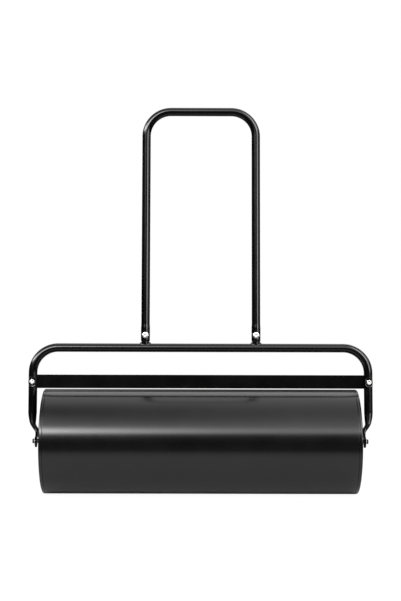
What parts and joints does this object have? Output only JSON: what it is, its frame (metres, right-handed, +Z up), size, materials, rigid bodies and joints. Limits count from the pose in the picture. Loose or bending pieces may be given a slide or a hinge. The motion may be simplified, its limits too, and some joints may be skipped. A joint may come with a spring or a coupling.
{
  "type": "lawn roller",
  "caption": "Water-filled steel drum roller that turns on a fixed axle in a bent tube frame with flattened ends, a flat cross bar above the drum and a bolted-on U handle",
  "frame": {"origin": "on the ground under the middle of the drum", "axes": "+X along the axle to the end with the fill plug, +Z up, +Y to the back, the way the handle leans"},
  "size_m": [1.011, 0.304, 1.1408],
  "materials": {
    "drum_paint": "gloss black paint, smooth enough to mirror the bar and frame above the drum",
    "frame_paint": "gloss black powder coat on tube, bar, saddles, axle rod and axle bolts",
    "zinc_plate": "bright zinc-plated fasteners",
    "nylon": "natural nylon, matte",
    "rubber": "black rubber, matte",
    "plug_plastic": "moulded black plastic, fine texture"
  },
  "bodies": {
    "frame": {"frame_tube": "frame_paint", "cross_bar": "frame_paint", "axle_rod": "frame_paint", "handle_tube": "frame_paint", "axle_bolt_left": "frame_paint", "axle_washer_left": "zinc_plate", "leg_bolt_left": "zinc_plate", "leg_saddle_left": "frame_paint", "leg_washer_left": "zinc_plate", "leg_nut_left": "zinc_plate", "handle_stub_left": "frame_paint", "handle_bolt_left": "zinc_plate", "handle_washer_left": "zinc_plate", "handle_nut_left": "zinc_plate", "axle_bolt_right": "frame_paint", "axle_washer_right": "zinc_plate", "leg_bolt_right": "zinc_plate", "leg_saddle_right": "frame_paint", "leg_washer_right": "zinc_plate", "leg_nut_right": "zinc_plate", "handle_stub_right": "frame_paint", "handle_bolt_right": "zinc_plate", "handle_washer_right": "zinc_plate", "handle_nut_right": "zinc_plate"},
    "drum": {"drum_shell": "drum_paint", "end_cap_left": "drum_paint", "end_cap_right": "drum_paint", "axle_tube": "drum_paint", "hub_bush_left": "nylon", "hub_bush_right": "nylon", "fill_bung": "drum_paint"},
    "gasket": {"fill_gasket": "rubber"},
    "plug": {"fill_plug": "plug_plastic"}
  },
  "joints": [
    {"name": "drum_roll", "type": "hinge", "parent": "frame", "child": "drum", "pos_m": [0, 0, 0.152], "axis": [1, 0, 0], "continuous": true},
    {"name": "plug_lift", "type": "slide", "parent": "drum", "child": "gasket", "axis": [1, 0, 0], "range_m": [0, 0.008]},
    {"name": "plug_turn", "type": "hinge", "parent": "gasket", "child": "plug", "pos_m": [0.4472, 0, 0.064], "axis": [1, 0, 0], "range_deg": [0, 1440]}
  ],
  "couplings": [
    {"joint": "plug_lift", "follows": "plug_turn", "m_per_rad": 0.00031831}
  ]
}
